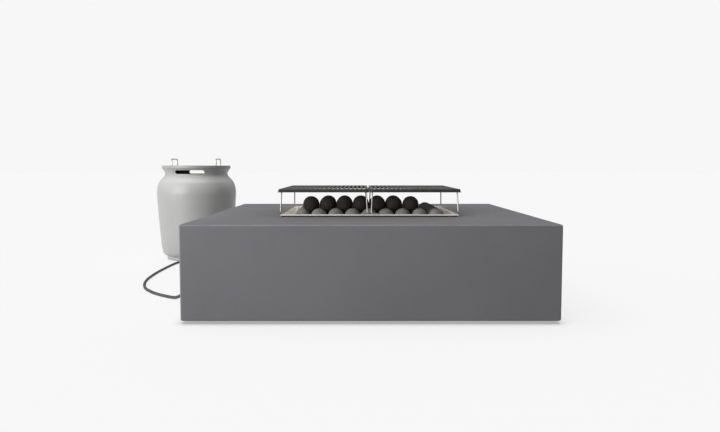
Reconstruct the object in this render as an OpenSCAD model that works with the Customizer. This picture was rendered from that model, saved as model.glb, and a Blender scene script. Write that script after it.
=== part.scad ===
// Gas fire pit in cast concrete, with two lift-off grates over a bed of ceramic
// balls, joined by a hose to a gas bottle that stands under a spun metal cover.
// Millimetres, +Z up. The origin is on the ground at the middle of the whole set,
// the front of the pit faces -Y, and the bottle stands behind it on the left.

/* [Pit body] */
// Width and depth of the square concrete body
pit_w = 1220; // [1200:10:1240]
// Height of the concrete top above the ground
pit_top = 320; // [316:2:330]
// Gap under the body, which the recessed feet leave
foot_gap = 10; // [8:1:12]
// Thickness of the concrete sides
wall_t = 25; // [20:1:30]
// Thickness of the concrete top
slab_t = 30; // [25:1:40]
// Radius of the cast edges
edge_r = 6; // [3:1:10]

/* [Burner pan] */
// Outer length of the pan's flange, along X
flange_w = 656; // [640:2:660]
// Outer depth of the pan's flange, along Y
flange_d = 542; // [536:2:546]
// Width of the flange
flange_reach = 15; // [14:1:18]
// Folded height of the flange
flange_t = 4; // [3:1:5]
// Gap between the concrete top and the flange
flange_gap = 4; // [3:1:5]
// Depth of the pan below the concrete top
pan_drop = 100; // [95:1:110]

/* [Ceramic balls] */
// Diameter of a ball
ball_d = 62; // [58:1:62]
// Distance from one ball to the next
ball_pitch = 62.5; // [62.5:0.1:62.8]
// Columns and rows in the lower layer
lower_balls = [9, 8]; // [1:9]
// Columns and rows in the upper layer, which lies at the front
upper_balls = [7, 2]; // [1:7]

/* [Grates] */
// Length of one grate's top plate, along X
plate_w = 332.6; // [320:0.2:332.6]
// Depth of one grate's top plate, along Y
plate_d = 512; // [500:2:516]
// Height of the grates' top above the concrete top
grate_rise = 101; // [99:1:110]
// Width of a slot
slot_w = 8; // [6:0.5:10]
// Number of slots along the plate
slot_columns = 19; // [15:1:19]
// Diameter of the leg wire
wire_d = 5; // [4:0.5:5]

/* [Gas bottle and cover] */
// Distance from the pit's middle to the bottle's axis, to the left
bottle_dx = 934; // [924:2:950]
// Distance from the pit's middle to the bottle's axis, to the back
bottle_dy = 980; // [970:1:990]
// Diameter of the gas bottle
bottle_d = 240; // [230:2:244]
// Sheet thickness of the cover
cover_t = 3; // [2:0.5:3]
// Length of each handle slot in the cover's neck
slot_grip = 154; // [120:2:160]

/* [Hose] */
// Outer diameter of the gas hose
hose_d = 12; // [10:1:12]

/* [Hidden] */
$fn = 64;

// Small distance by which a cutter passes the face that it cuts
cut = 1;
// Clearance between pieces that move apart
gap = 0.3;

// Concrete body
body_z = foot_gap;
body_h = pit_top - body_z;
inner_w = pit_w - 2*wall_t;

// The cover's widest radius, and from it the pit's place: the origin is the middle of the set
cover_r = 212;
pit_x = (bottle_dx + cover_r - pit_w/2)/2;
pit_y = -(bottle_dy + cover_r - pit_w/2)/2;
bottle_x = pit_x - bottle_dx;
bottle_y = pit_y + bottle_dy;

// Burner pan, from its flange inwards
flange_z = pit_top + flange_gap;
flange_top = flange_z + flange_t;
pan_t = 2;
pan_in_w = flange_w - 2*flange_reach;
pan_in_d = flange_d - 2*flange_reach;
pan_out_w = pan_in_w + 2*pan_t;
pan_out_d = pan_in_d + 2*pan_t;
pan_floor = pit_top - pan_drop;
hole_play = 6;
plate_z = pit_top - 37;
plate_t = 3;

// Ball layers: the upper one sits in the hollows of the lower one
lower_z = pit_top - 2.5;
upper_z = lower_z + 44.5;

// Feet and shield fixings, as distances from the pit's middle
foot_place = 500;
shield_place = [270, 210];

// Burner under the perforated plate
burner_z = 250;
burner_half = [220, 110];
stem_r = 10;
mixer_z = 138;
pipe_r = 5;

// Left-hand control panel, centred on the valve's own height
panel_x = -pit_w/2;
panel_t = 3;
panel_y = -30;
panel_z = 160;
panel_size = [200, 100];
knob_y = 0;
igniter_y = -60;
screw_spread = [90, 40];
spindle_r = 3;
sleeve_r = 5;
shaft_play = 0.05;
knob_travel = 4;

// Gas inlet through the left wall
inlet_y = -250;
inlet_z = 36;
ferrule_len = 24;

// Grates
grate_top = pit_top + grate_rise;
grate_skin = 3;
skirt_t = 2.5;
lip_z = grate_top - 12;
lip_t = 3;
lip_out = 2.8;
plate_in = 3.4;
plate_mid = plate_in + plate_w/2;
slot_pitch = 16.6;
slot_rows = 3;
slot_len = 148;
slot_row_pitch = 162;
wire_r = wire_d/2;
wire_top = grate_top - grate_skin - wire_r;
wire_foot = flange_top + gap + wire_r;
leg_top_y = 250;
leg_foot_y = 268.5;
outer_leg_x = [323.5, 326.5];
inner_leg_x = [11.7, 7];
foot_len = 24;

// Outline of the cover, from its foot to its rim, as radius and height
cover_foot_top = 22;
cover_rim_z = 495;
cover_top = 510;
cover_outline = [
    [163, 22], [177, 27], [185, 40], [191, 70], [195.5, 113], [203.5, 214], [210, 315],
    [211.7, 345], [212, 365], [210, 384], [206.5, 400], [200, 418], [192, 430], [181, 442],
    [171.5, 452], [167, 463], [168.5, 473], [173, 482], [178.5, 490], [183, 495]
];
outline_steps = 2;
// Points of the outline where the drum meets the shoulder, and the shoulder the neck
drum_point = 7;
neck_point = 15;
slot_grip_z = 475;
slot_grip_h = 20;
notch_x = -16;

// Lid that rests on a ledge inside the rim
lid_z = 500;
lid_r = 178;
lid_t = 3;
handle_x = 120;
handle_half = 57;
handle_top = 548;
handle_r = 3;

// Gas bottle
bottle_r = bottle_d/2;
bottle_t = 3;
dome_low = 80;
dome_high = 290;
dome_low_h = 50;
dome_high_h = 58;
boss_r = 12;
collar_r = 88;
collar_z = 332;
collar_top = 430;
outlet_z = 392;
hose_drop_x = 138;

// Route of the hose, from the pit's inlet over the ground and up to the regulator
hose_route = [
    [-372, -541, 36], [-382, -541, 36], [-392, -541, 36], [-405, -540, 35], [-418, -537, 32],
    [-431, -531, 26], [-444, -522, 19], [-457, -510, 12], [-471, -497, 8], [-495, -476, 6],
    [-522, -453, 6], [-550, -427, 6], [-582, -392, 6], [-613, -349, 6], [-644, -297, 6],
    [-670, -232, 6], [-684, -186, 6], [-695, -141, 6], [-708, -70, 6], [-717, 23, 6],
    [-722, 108, 6], [-724, 204, 6], [-723, 304, 6], [-721, 389, 6], [-716, 444, 6],
    [-708, 486, 6], [-695, 516, 6], [-675, 538, 6], [-644, 553, 6], [-608, 566, 6],
    [-575, 588, 6], [-550, 618, 7], [-541, 638, 11], [-534, 658, 22], [-530, 673, 38],
    [-528, 684, 60], [-528, 689, 90], [-528, 689, 130], [-528, 689, 235], [-528, 689, 341]
];
hose_sides = 10;

// Colours
concrete = [0.44, 0.44, 0.46];
steel_dark = [0.25, 0.25, 0.26];
stainless = [0.72, 0.71, 0.69];
enamel = [0.13, 0.13, 0.13];
ceramic = [0.10, 0.10, 0.10];
brass = [0.72, 0.58, 0.30];
rubber = [0.17, 0.17, 0.18];
cover_paint = [0.68, 0.68, 0.68];
bottle_paint = [0.60, 0.62, 0.62];
plastic = [0.08, 0.08, 0.08];

// ---------- Helpers ----------

module at_pit() translate([pit_x, pit_y, 0]) children();

module at_bottle() translate([bottle_x, bottle_y, 0]) children();

// Outline of a rectangle with rounded corners, as points that run anticlockwise
function rounded_rect(w, d, r, steps = 5) = [
    for (c = [[1, 1, 0], [-1, 1, 90], [-1, -1, 180], [1, -1, 270]], i = [0:steps])
        let (a = c[2] + 90*i/steps)
        [c[0]*(w/2 - r) + r*cos(a), c[1]*(d/2 - r) + r*sin(a)]
];

module block(w, d, z0, z1) translate([-w/2, -d/2, z0]) cube([w, d, z1 - z0]);

module rect_ring(w, d, reach, z0, z1) difference() {
    block(w, d, z0, z1);
    block(w - 2*reach, d - 2*reach, z0 - cut, z1 + cut);
}

// Round bar from one point to another
module rod(a, b, r) {
    v = b - a;
    translate(a) rotate([0, acos(v[2]/norm(v)), atan2(v[1], v[0])]) cylinder(h = norm(v), r = r);
}

// Bent pipe: straight runs that meet in a slightly fatter elbow at each bend
module bent_pipe(points, r) {
    for (i = [0:len(points) - 2]) rod(points[i], points[i + 1], r);
    for (i = [1:1:len(points) - 2]) translate(points[i]) sphere(r = 1.35*r);
}

module along_x(x0, x1, r) translate([x0, 0, 0]) rotate([0, 90, 0]) cylinder(h = x1 - x0, r = r);

module hex_along_x(x0, x1, r) translate([x0, 0, 0]) rotate([0, 90, 0]) cylinder(h = x1 - x0, r = r, $fn = 6);

// Point at share t between b and c on a smooth curve through a, b, c and d
function smooth(a, b, c, d, t) = 0.5*(2*b + (c - a)*t + (2*a - 5*b + 4*c - d)*t*t + (3*b - a - 3*c + d)*t*t*t);

// A curve through the points, with the given number of steps from one point to the next
function through(p, steps) = concat(
    [for (i = [0:len(p) - 2], j = [0:steps - 1])
        smooth(p[max(i - 1, 0)], p[i], p[i + 1], p[min(i + 2, len(p) - 1)], j/steps)],
    [p[len(p) - 1]]
);

function unit(v) = v/norm(v);

// Tube with flat ends that follows a line of points
module sweep(line, r, sides) {
    n = len(line);
    way = [for (i = [0:n - 1]) unit(line[min(i + 1, n - 1)] - line[max(i - 1, 0)])];
    function carry(side, w) = unit(side - (side*w)*w);
    sides_at = [for (i = 0, s = carry([0, 0, 1], way[0]); i < n; i = i + 1,
        s = i < n ? carry(s, way[i]) : s) s];
    rings = [for (i = [0:n - 1], k = [0:sides - 1])
        let (a = 360*k/sides)
        line[i] + r*cos(a)*sides_at[i] + r*sin(a)*cross(way[i], sides_at[i])];
    skin = [for (i = [0:n - 2], k = [0:sides - 1])
        let (a = i*sides + k, b = i*sides + (k + 1) % sides)
        [a, a + sides, b + sides, b]];
    first = [for (k = [0:sides - 1]) k];
    last = [for (k = [sides - 1:-1:0]) (n - 1)*sides + k];
    polyhedron(points = rings, faces = concat(skin, [first, last]), convexity = 10);
}

// ---------- Pit ----------

// Cast concrete casing: four sides and a top with the burner's opening, open below
module concrete_shell() color(concrete) at_pit() difference() {
    intersection() {
        translate([0, 0, body_z]) linear_extrude(body_h) polygon(rounded_rect(pit_w, pit_w, edge_r));
        translate([0, pit_w/2, body_z + body_h/2]) rotate([90, 0, 0])
            linear_extrude(pit_w) polygon(rounded_rect(pit_w, body_h, edge_r));
        translate([-pit_w/2, 0, body_z + body_h/2]) rotate([90, 0, 90])
            linear_extrude(pit_w) polygon(rounded_rect(pit_w, body_h, edge_r));
    }
    block(inner_w, inner_w, body_z - cut, pit_top - slab_t);
    block(pan_out_w + hole_play, pan_out_d + hole_play, body_z, pit_top + cut);
    translate([panel_x, panel_y - 80, panel_z - 35]) translate([-cut, 0, 0]) cube([wall_t + 2*cut, 160, 70]);
    panel_screw_places() along_x(-cut, wall_t + cut, 2.5);
    translate([panel_x, inlet_y, inlet_z]) along_x(-cut, wall_t + cut, 11);
}

// Where the control panel's four screws go, measured from the wall's outer face
module panel_screw_places()
    for (sy = [-1, 1], sz = [-1, 1])
        translate([panel_x, panel_y + sy*screw_spread[0], panel_z + sz*screw_spread[1]]) children();

// Where the four feet go, set in from the body's corners
module foot_places() for (sx = [-1, 1], sy = [-1, 1]) translate([sx*foot_place, sy*foot_place, 0]) children();

// Steel angle round the inside of the concrete, with two cross plates that carry the feet
module base_frame() color(steel_dark) at_pit() difference() {
    union() {
        rect_ring(inner_w, inner_w, 40, body_z, body_z + 4);
        rect_ring(inner_w, inner_w, 4, body_z, body_z + 8);
        for (sx = [-1, 1]) translate([sx*foot_place, 0, 0]) block(70, inner_w - 20, body_z, body_z + 5);
        foot_places() translate([0, 0, body_z]) cylinder(h = 22, r = 14);
    }
    foot_places() translate([0, 0, body_z - cut]) cylinder(h = 24, r = 5.1);
}

// Four screw-in feet, set back so that the body seems to float
module levelling_feet() color(rubber) at_pit() foot_places() union() {
    cylinder(h = 6, r = 30);
    translate([0, 0, 6]) cylinder(h = foot_gap - 6, r1 = 28, r2 = 12);
    cylinder(h = 42, r = 5);
}

// Dark strip under the pan's flange, set back from its edge
module rim_gasket() color(rubber) at_pit()
    rect_ring(flange_w - 10, flange_d - 10, 4, pit_top, flange_z);

// Folded steel pan that drops into the opening and hangs by its flange
module burner_pan() color(stainless) at_pit() difference() {
    union() {
        rect_ring(flange_w, flange_d, flange_reach, flange_z, flange_top);
        rect_ring(pan_out_w, pan_out_d, pan_t, pan_floor, flange_top);
        block(pan_out_w, pan_out_d, pan_floor, pan_floor + pan_t);
        rect_ring(pan_in_w + cut, pan_in_d + cut, 12, plate_z - 3, plate_z);
    }
    translate([0, 0, pan_floor - cut]) cylinder(h = pan_t + 2*cut, r = stem_r + 0.5);
}

// Middle of the hollow between four lower balls, counted from the middle of the pan
function hollow(i, j) = [ball_pitch*(i - 0.5), ball_pitch*j];

// Perforated plate that carries the balls, with a flame hole under each hollow between them
module burner_plate() color(stainless) at_pit() difference() {
    block(pan_in_w - 2, pan_in_d - 2, plate_z, plate_z + plate_t);
    for (i = [-3:4], j = [-3:3])
        translate([hollow(i, j)[0], hollow(i, j)[1], plate_z - cut]) cylinder(h = plate_t + 2*cut, r = 4);
}

// Tube burner: a rectangle with a middle bar and a stem to the air mixer
module burner_tube() color(stainless) at_pit() difference() {
    union() {
        for (s = [-1, 1]) {
            translate([0, s*burner_half[1], burner_z]) along_x(-burner_half[0] - 14, burner_half[0] + 14, 12.5);
            rod([s*burner_half[0], -burner_half[1], burner_z], [s*burner_half[0], burner_half[1], burner_z], 11);
        }
        rod([0, -burner_half[1], burner_z], [0, burner_half[1], burner_z], 11.5);
        rod([0, 0, 188], [0, 0, burner_z], stem_r);
    }
    rod([0, 0, 187], [0, 0, burner_z], stem_r - 2);
    for (s = [-1, 1], i = [-8:8])
        translate([25*i, s*burner_half[1], burner_z + 5]) cylinder(h = 10, r = 1.5);
}

// Venturi under the pan, where the gas draws air in
module air_mixer() color(brass) at_pit() difference() {
    translate([0, 0, mixer_z]) cylinder(h = 62, r = 16);
    translate([0, 0, 187]) cylinder(h = 14, r = stem_r + shaft_play);
    translate([0, 0, 150]) cylinder(h = 38, r = 8.5);
    translate([0, 0, mixer_z - cut]) cylinder(h = 14, r = pipe_r);
    for (a = [0, 90]) translate([0, 0, 160]) rotate([0, 0, a]) along_x(-17, 17, 4);
}

module shield_places()
    for (sx = [-1, 1], sy = [-1, 1]) translate([sx*shield_place[0], sy*shield_place[1], 0]) children();

// Sheet steel shield between the hot pan and the fittings below it
module heat_shield() color(steel_dark) at_pit() difference() {
    block(600, 480, 203, 204.5);
    translate([0, 0, 200]) cylinder(h = 8, r = 19);
    shield_places() translate([0, 0, 200]) cylinder(h = 8, r = 2.6);
}

module shield_spacers() color(stainless) at_pit() shield_places() union() {
    translate([0, 0, 204.5]) cylinder(h = pan_floor - 204.5, r = 6);
    translate([0, 0, 199]) cylinder(h = 6, r = 2.5);
    translate([0, 0, 199]) cylinder(h = 3.5, r = 5);
}

// Pipe from the valve to the air mixer
module burner_pipe() color(brass) at_pit()
    bent_pipe([[-545, 0, 140], [-545, 0, 110], [0, 0, 110], [0, 0, 150]], pipe_r);

// Pipe from the inlet in the left wall to the valve
module supply_pipe() color(brass) at_pit()
    bent_pipe([[-568, inlet_y, inlet_z], [-545, inlet_y, inlet_z], [-545, inlet_y, panel_z], [-545, -20, panel_z]], pipe_r);

// Gas valve behind the control panel, with the bore that the knob's sleeve slides in
module valve_body() color(brass) at_pit() difference() {
    union() {
        translate([-598, -20, 140]) cube([70, 40, 38]);
        translate([0, 0, panel_z]) along_x(panel_x, -590, 9);
        translate([panel_x, -26, 146]) cube([3, 52, 28]);
    }
    translate([0, 0, panel_z]) along_x(panel_x - cut, -575, sleeve_r + shaft_play);
}

module control_panel() color(stainless) at_pit() difference() {
    translate([panel_x - panel_t, panel_y - panel_size[0]/2, panel_z - panel_size[1]/2])
        cube([panel_t, panel_size[0], panel_size[1]]);
    translate([0, knob_y, panel_z]) along_x(panel_x - panel_t - cut, panel_x + cut, sleeve_r + shaft_play);
    translate([0, igniter_y, panel_z]) along_x(panel_x - panel_t - cut, panel_x + cut, 11);
    panel_screw_places() along_x(-panel_t - cut, cut, 2.5);
}

module panel_screws() color(stainless) at_pit() panel_screw_places() union() {
    along_x(-panel_t - 2.5, -panel_t, 5);
    along_x(-panel_t, 20, 2.4);
}

// Sleeve that slides in the valve when the knob is pushed in
module knob_sleeve() color(brass) at_pit() translate([0, knob_y, panel_z]) difference() {
    along_x(panel_x - 6, -590, sleeve_r);
    along_x(panel_x - 7, -589, spindle_r + shaft_play);
}

module knob_spindle() color(stainless) at_pit() translate([0, knob_y, panel_z])
    along_x(panel_x - 24, -592, spindle_r);

// Round knob with a grip bar and a pointer
module control_knob() color(plastic) at_pit() translate([0, knob_y, panel_z]) difference() {
    union() {
        along_x(panel_x - 20, panel_x - panel_t - knob_travel - 1, 25);
        along_x(panel_x - 26, panel_x - 20, 22);
        translate([panel_x - 36, -6, -20]) cube([12, 12, 40]);
    }
    along_x(panel_x - 24, panel_x, spindle_r);
}

// Ignition housing: a bezel, the barrel that the button slides in, and the spark unit
module igniter_module() color(plastic) at_pit() translate([0, igniter_y, panel_z]) difference() {
    union() {
        along_x(panel_x - panel_t - 3, panel_x - panel_t, 14);
        along_x(panel_x - panel_t, -600, 10.9);
        translate([-606, -16, -16]) cube([46, 32, 32]);
    }
    along_x(panel_x - 7, -588, 9.1);
}

module igniter_button() color(stainless) at_pit() translate([0, igniter_y, panel_z])
    along_x(panel_x - 11, -596, 9);

// Ceramic rod with a bent wire tip that stands in a hollow of the ball bed
module spark_electrode() color([0.9, 0.88, 0.84]) at_pit()
    translate([hollow(3, 0)[0], hollow(3, 0)[1], 0]) union() {
        translate([0, 0, plate_z - 20]) cylinder(h = 36, r = 3);
        translate([0, 0, plate_z + 15]) cylinder(h = 10, r = 1);
    }

// Flame probe of the safety valve
module thermocouple() color(brass) at_pit()
    translate([hollow(3, 1)[0], hollow(3, 1)[1], 0]) union() {
        translate([0, 0, plate_z - 20]) cylinder(h = 20, r = 3.5);
        translate([0, 0, plate_z - 1]) cylinder(h = 24, r = 2.5);
    }

// Bulkhead fitting: a hex flange outside, a barb for the hose and a thread inside
module inlet_fitting() color(brass) at_pit() translate([0, inlet_y, inlet_z]) union() {
    hex_along_x(panel_x - 6, panel_x, 17);
    along_x(panel_x - 26, panel_x - 5, pipe_r);
    along_x(panel_x - 1, -568, 10);
}

module inlet_nut() color(brass) at_pit() translate([0, inlet_y, inlet_z]) difference() {
    hex_along_x(panel_x + wall_t, panel_x + wall_t + 8, 17);
    along_x(panel_x + wall_t - cut, panel_x + wall_t + 9, 10);
}

// ---------- Ball bed ----------

// Layer of balls in columns and rows, with the middle of its first ball at start, and some places left out
module ball_layer(count, start, z, without)
    for (i = [0:count[0] - 1], j = [0:count[1] - 1]) if (len([for (w = without) if (w == [i, j]) w]) == 0)
        translate([start[0] + i*ball_pitch, start[1] + j*ball_pitch, z]) sphere(d = ball_d);

module fire_balls_lower() color(ceramic) at_pit()
    ball_layer(lower_balls, [-4*ball_pitch, -3.5*ball_pitch], lower_z, [[0, 0]]);

// Two rows in the front hollows of the lower layer, the second one shorter at both ends
module fire_balls_upper() color(ceramic) at_pit()
    ball_layer(upper_balls, [-3.5*ball_pitch, -3*ball_pitch], upper_z, [[0, 1], [upper_balls[0] - 1, 1]]);

// ---------- Grates ----------

// Cutter for one slot with round ends, which runs along Y
module slot_cutter() translate([0, 0, grate_top - grate_skin - cut]) union() {
    translate([-slot_w/2, -(slot_len - slot_w)/2, 0]) cube([slot_w, slot_len - slot_w, grate_skin + 2*cut]);
    for (s = [-1, 1]) translate([0, s*(slot_len - slot_w)/2, 0]) cylinder(h = grate_skin + 2*cut, d = slot_w, $fn = 32);
}

// Slotted plate with a turned-down edge and a small flared lip
module grate_plate() color(enamel) translate([plate_mid, 0, 0]) union() {
    difference() {
        block(plate_w, plate_d, grate_top - grate_skin, grate_top);
        for (i = [0:slot_columns - 1], j = [0:slot_rows - 1])
            translate([(i - (slot_columns - 1)/2)*slot_pitch, (j - (slot_rows - 1)/2)*slot_row_pitch, 0])
                slot_cutter();
    }
    rect_ring(plate_w, plate_d, skirt_t, lip_z, grate_top - grate_skin + 0.5);
    rect_ring(plate_w + 2*lip_out, plate_d + 2*lip_out, skirt_t + lip_out, lip_z, lip_z + lip_t);
}

// Closed wire frame under the outer edge: its lower bar lies along the pan's side flange
module outer_leg() color(stainless) union() {
    rod([outer_leg_x[0], -leg_top_y - wire_r, wire_top], [outer_leg_x[0], leg_top_y + wire_r, wire_top], wire_r);
    rod([outer_leg_x[1], -leg_foot_y - wire_r, wire_foot], [outer_leg_x[1], leg_foot_y + wire_r, wire_foot], wire_r);
    for (s = [-1, 1])
        rod([outer_leg_x[1], s*leg_foot_y, wire_foot], [outer_leg_x[0], s*leg_top_y, wire_top], wire_r - 0.1);
}

// Open wire frame under the inner edge: two bent feet stand on the front and back flange
module inner_leg() color(stainless) union() {
    rod([inner_leg_x[0], -leg_top_y - wire_r, wire_top], [inner_leg_x[0], leg_top_y + wire_r, wire_top], wire_r);
    for (s = [-1, 1]) {
        rod([inner_leg_x[1], s*leg_foot_y, wire_foot], [inner_leg_x[0], s*leg_top_y, wire_top], wire_r - 0.1);
        rod([inner_leg_x[1] - wire_r, s*leg_foot_y, wire_foot], [inner_leg_x[1] + foot_len, s*leg_foot_y, wire_foot], wire_r);
    }
}

// Saddles that hold the two wire frames under the plate, each open at the top
module leg_clips() color(enamel)
    for (x = [outer_leg_x[0], inner_leg_x[0]], s = [-1, 1])
        translate([x, s*180, 0]) difference() {
            translate([x < 100 ? 4 : -4, 0, 0]) block(18, 24, wire_top - wire_r - 2, grate_top - grate_skin);
            rod([0, -13, wire_top], [0, 13, wire_top], wire_r);
            block(wire_d - 1, 26, wire_top, grate_top);
        }

module left_of_pit() at_pit() mirror([1, 0, 0]) children();

module grate_right_plate() at_pit() grate_plate();
module grate_right_outer_leg() at_pit() outer_leg();
module grate_right_inner_leg() at_pit() inner_leg();
module grate_right_clips() at_pit() leg_clips();
module grate_left_plate() left_of_pit() grate_plate();
module grate_left_outer_leg() left_of_pit() outer_leg();
module grate_left_inner_leg() left_of_pit() inner_leg();
module grate_left_clips() left_of_pit() leg_clips();

// ---------- Bottle cover ----------

// Smooth outline of the cover's outside
cover_curve = through(cover_outline, outline_steps);

// Outline moved towards the axis by the sheet's thickness
function inwards(line, t) = [for (p = line) [p[0] - t, p[1]]];
function reversed(line) = [for (i = [len(line) - 1:-1:0]) line[i]];

module grip_slot() rotate([90, 0, 0]) {
    for (s = [-1, 1]) translate([s*(slot_grip - slot_grip_h)/2, slot_grip_z, -250]) cylinder(h = 500, d = slot_grip_h);
    translate([-(slot_grip - slot_grip_h)/2, slot_grip_z - slot_grip_h/2, -250])
        cube([slot_grip - slot_grip_h, slot_grip_h, 500]);
}

// Spun ring of the cover's sheet, between two points of its outline
module cover_part(first, last) {
    line = [for (i = [first*outline_steps:last*outline_steps]) cover_curve[i]];
    rotate_extrude($fn = 128) polygon(concat(line, reversed(inwards(line, cover_t))));
}

// Jar-shaped cover, welded from a drum, a pressed shoulder and a flared neck with two grip slots
module cover_drum() color(cover_paint) at_bottle() cover_part(0, drum_point);
module cover_shoulder() color(cover_paint) at_bottle() cover_part(drum_point, neck_point);
module cover_neck() color(cover_paint) at_bottle() difference() {
    cover_part(neck_point, len(cover_outline) - 1);
    grip_slot();
}

// Recessed ring that the cover stands on, with a notch for the hose at the front
module cover_foot_ring() color(cover_paint) at_bottle() difference() {
    cylinder(h = cover_foot_top, r = 163, $fn = 128);
    translate([0, 0, -cut]) cylinder(h = cover_foot_top + 2*cut, r = 157, $fn = 128);
    translate([notch_x - 22, -190, -cut]) cube([44, 60, 21]);
}

// Rolled rim with the ledge that the lid rests on
module cover_rim() color(cover_paint) at_bottle() difference() {
    translate([0, 0, cover_rim_z]) cylinder(h = cover_top - cover_rim_z, r = 183.5, $fn = 128);
    translate([0, 0, lid_z - gap]) cylinder(h = 20, r = 179, $fn = 128);
    translate([0, 0, cover_rim_z - cut]) cylinder(h = 10, r = 165, $fn = 128);
}

// Flat lid with a shallow turned-down edge
module cover_lid() color(cover_paint) at_bottle() difference() {
    union() {
        translate([0, 0, lid_z]) cylinder(h = lid_t, r = lid_r, $fn = 128);
        translate([0, 0, lid_z - 6]) cylinder(h = 7, r = 163, $fn = 128);
    }
    translate([0, 0, lid_z - 7]) cylinder(h = 7, r = 160, $fn = 128);
    lid_nut_places() translate([0, 0, lid_z - cut]) cylinder(h = lid_t + 2*cut, r = handle_r);
}

module lid_nut_places()
    for (sx = [-1, 1], sy = [-1, 1]) translate([sx*handle_x, sy*handle_half, 0]) children();

// Two wire handles that stand up through the lid
module lid_handles() color(stainless) at_bottle()
    for (s = [-1, 1]) translate([s*handle_x, 0, 0]) union() {
        for (e = [-1, 1]) rod([0, e*handle_half, lid_z - 10], [0, e*handle_half, handle_top - handle_r], handle_r);
        rod([0, -handle_half - handle_r, handle_top - handle_r], [0, handle_half + handle_r, handle_top - handle_r], handle_r - 0.1);
    }

module lid_handle_nuts() color(stainless) at_bottle() lid_nut_places() difference() {
    translate([0, 0, lid_z - 5]) cylinder(h = 5, r = 6.5, $fn = 6);
    translate([0, 0, lid_z - 6]) cylinder(h = 7, r = handle_r);
}

// ---------- Gas bottle ----------

// Half outline of a vessel with a shallow dome at each end, as radius and height
function dome(r, low, high, low_h, high_h, steps = 10) = concat(
    [for (i = [0:steps]) [r*sin(90*i/steps), low - low_h*cos(90*i/steps)]],
    [for (i = [0:steps]) [r*cos(90*i/steps), high + high_h*sin(90*i/steps)]]
);

// Welded steel bottle, with a hole at the top for the valve
module bottle_body() color(bottle_paint) at_bottle() difference() {
    rotate_extrude($fn = 96) polygon(dome(bottle_r, dome_low, dome_high, dome_low_h, dome_high_h));
    rotate_extrude($fn = 96) polygon(dome(bottle_r - bottle_t, dome_low, dome_high, dome_low_h - bottle_t, dome_high_h - bottle_t));
    translate([0, 0, dome_high + 30]) cylinder(h = 60, r = boss_r);
}

module bottle_foot_ring() color(bottle_paint) at_bottle() difference() {
    cylinder(h = 45, r = 90, $fn = 96);
    translate([0, 0, -cut]) cylinder(h = 50, r = 87, $fn = 96);
}

// Guard round the valve, open on the regulator's side, with a hand hole front and back
module bottle_collar() color(bottle_paint) at_bottle() difference() {
    translate([0, 0, collar_z]) cylinder(h = collar_top - collar_z, r = collar_r, $fn = 96);
    translate([0, 0, collar_z - cut]) cylinder(h = 120, r = collar_r - 3, $fn = 96);
    translate([20, -55, 352]) cube([100, 110, 100]);
    rotate([90, 0, 0]) for (s = [-1, 1]) translate([s*26 - 14, 408, -100]) cylinder(h = 200, r = 11);
    translate([-40, -100, 397]) cube([52, 200, 22]);
}

module bottle_valve() color(brass) at_bottle() union() {
    translate([0, 0, 338]) cylinder(h = 14, r = boss_r);
    translate([0, 0, 349]) cylinder(h = 8, r = 18);
    translate([0, 0, 356]) cylinder(h = 52, r = 11);
    translate([0, 0, outlet_z]) along_x(0, 34, 8.9);
    translate([0, 0, 400]) cylinder(h = 28, r = 4);
}

// Five-lobed handwheel on the valve's stem
module valve_handwheel() color(plastic) at_bottle() difference() {
    union() {
        translate([0, 0, 412]) cylinder(h = 14, r = 22);
        for (a = [0:72:288]) rotate([0, 0, a]) translate([20, 0, 412]) cylinder(h = 14, r = 8);
    }
    translate([0, 0, 411]) cylinder(h = 20, r = 4 + shaft_play);
}

// Low-pressure regulator: a round diaphragm housing with an arm that feeds the hose downwards
module regulator() color([0.45, 0.46, 0.47]) at_bottle() difference() {
    union() {
        translate([0, 0, outlet_z]) along_x(34.2, 60, 8.9);
        translate([81, 0, outlet_z - 13]) cylinder(h = 24, r = 35);
        translate([81, 0, outlet_z + 11]) cylinder(h = 6, r1 = 33, r2 = 12);
        translate([0, 0, outlet_z - 4]) along_x(100, hose_drop_x + 8, 8);
        translate([hose_drop_x, 0, outlet_z - 20]) cylinder(h = 20, r = 7.5);
        translate([hose_drop_x, 0, outlet_z - 42]) cylinder(h = 30, r = pipe_r);
    }
    translate([81, 0, outlet_z + 14]) cylinder(h = 5, r = 6);
}

module regulator_nut() color(brass) at_bottle() translate([0, 0, outlet_z]) difference() {
    hex_along_x(24, 45, 15);
    along_x(23, 46, 9);
}

// ---------- Hose ----------

module gas_hose() color(rubber) sweep(through(hose_route, 2), hose_d/2, hose_sides);

// Crimped sleeves over the two barbs that the hose is pushed onto
module hose_ferrules() color(stainless) {
    at_pit() translate([0, inlet_y, inlet_z]) difference() {
        along_x(panel_x - 6 - ferrule_len, panel_x - 6, 8.5);
        along_x(panel_x - 27, panel_x - 5, pipe_r + shaft_play);
    }
    at_bottle() translate([hose_drop_x, 0, outlet_z - 51]) difference() {
        cylinder(h = 30, r = 8.5);
        translate([0, 0, 8]) cylinder(h = 23, r = pipe_r + shaft_play);
    }
}

concrete_shell();
base_frame();
levelling_feet();
rim_gasket();
burner_pan();
burner_plate();
burner_tube();
air_mixer();
heat_shield();
shield_spacers();
burner_pipe();
supply_pipe();
valve_body();
control_panel();
panel_screws();
knob_sleeve();
knob_spindle();
control_knob();
igniter_module();
igniter_button();
spark_electrode();
thermocouple();
inlet_fitting();
inlet_nut();
fire_balls_lower();
fire_balls_upper();
grate_left_plate();
grate_left_outer_leg();
grate_left_inner_leg();
grate_left_clips();
grate_right_plate();
grate_right_outer_leg();
grate_right_inner_leg();
grate_right_clips();
cover_drum();
cover_shoulder();
cover_neck();
cover_foot_ring();
cover_rim();
cover_lid();
lid_handles();
lid_handle_nuts();
bottle_body();
bottle_foot_ring();
bottle_collar();
bottle_valve();
valve_handwheel();
regulator();
regulator_nut();
gas_hose();
hose_ferrules();
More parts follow.
